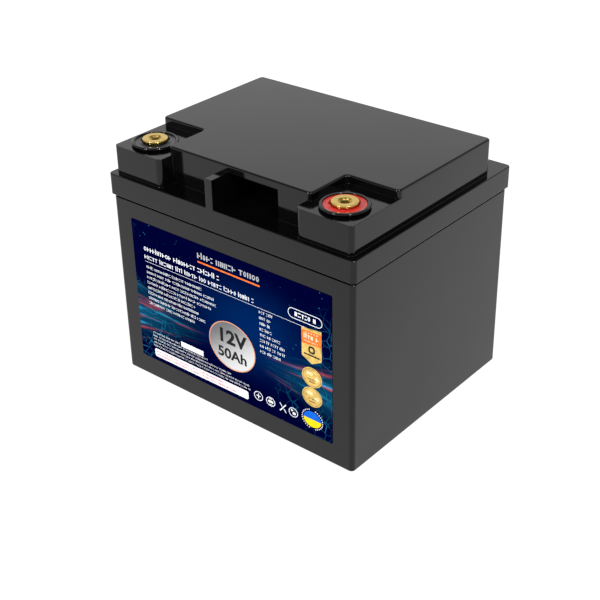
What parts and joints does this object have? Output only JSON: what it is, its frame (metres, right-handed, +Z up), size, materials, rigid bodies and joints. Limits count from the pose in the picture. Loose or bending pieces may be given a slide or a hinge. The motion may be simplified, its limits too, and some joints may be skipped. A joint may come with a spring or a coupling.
{
  "type": "deep cycle battery",
  "caption": "Sealed rectangular deep cycle battery with a raised lid, two screw terminals in corner recesses, a front label, and cells, links and a protection board inside.",
  "frame": {"origin": "centre of the base, on the surface it stands on", "axes": "+X to the right along the label face, +Y to the back, +Z up; the label face looks towards -Y"},
  "size_m": [0.197, 0.165, 0.17],
  "materials": {
    "case_plastic": "moulded black ABS, satin",
    "label": "printed vinyl label, dark blue",
    "terminal_brass": "turned and faced brass",
    "red_epoxy": "poured red epoxy",
    "black_epoxy": "poured black epoxy",
    "seal_rubber": "black nitrile",
    "copper": "tinned and bare copper",
    "steel": "zinc plated steel",
    "aluminium": "plain aluminium",
    "cell_wrap": "blue film on aluminium cans",
    "fibre_board": "glass fibre board",
    "foam": "dark closed-cell foam",
    "circuit_board": "green solder mask",
    "strap": "woven polyester band",
    "red_wire": "red silicone insulation",
    "black_wire": "black silicone insulation",
    "white_plastic": "natural nylon"
  },
  "bodies": {
    "root": {"balance_connector": "white_plastic", "cell_1": "cell_wrap", "cell_1_negative_nut": "steel", "cell_1_negative_post": "aluminium", "cell_1_positive_nut": "steel", "cell_1_positive_post": "aluminium", "cell_2": "cell_wrap", "cell_2_negative_nut": "steel", "cell_2_negative_post": "aluminium", "cell_2_positive_nut": "steel", "cell_2_positive_post": "aluminium", "cell_3": "cell_wrap", "cell_3_negative_nut": "steel", "cell_3_negative_post": "aluminium", "cell_3_positive_nut": "steel", "cell_3_positive_post": "aluminium", "cell_4": "cell_wrap", "cell_4_negative_nut": "steel", "cell_4_negative_post": "aluminium", "cell_4_positive_nut": "steel", "cell_4_positive_post": "aluminium", "cell_separator_1": "fibre_board", "cell_separator_2": "fibre_board", "cell_separator_3": "fibre_board", "cell_strap_1": "strap", "cell_strap_2": "strap", "container": "case_plastic", "front_label": "label", "left_end_board": "fibre_board", "left_foam_block": "foam", "lid": "case_plastic", "negative_lead": "black_wire", "negative_terminal_collar": "case_plastic", "negative_terminal_insert": "terminal_brass", "negative_terminal_lug": "copper", "negative_terminal_nut": "steel", "negative_terminal_o_ring": "seal_rubber", "negative_terminal_seal": "black_epoxy", "pack_negative_lead": "black_wire", "pack_negative_lug": "copper", "pack_positive_lug": "copper", "positive_lead": "red_wire", "positive_terminal_collar": "case_plastic", "positive_terminal_insert": "terminal_brass", "positive_terminal_lug": "copper", "positive_terminal_nut": "steel", "positive_terminal_o_ring": "seal_rubber", "positive_terminal_seal": "red_epoxy", "protection_board": "circuit_board", "protection_heat_sink": "aluminium", "right_end_board": "fibre_board", "right_foam_block": "foam", "sense_lead_1": "black_wire", "sense_lead_2": "red_wire", "sense_lead_3": "red_wire", "series_link_1": "copper", "series_link_2": "copper", "series_link_3": "copper"}
  },
  "joints": []
}
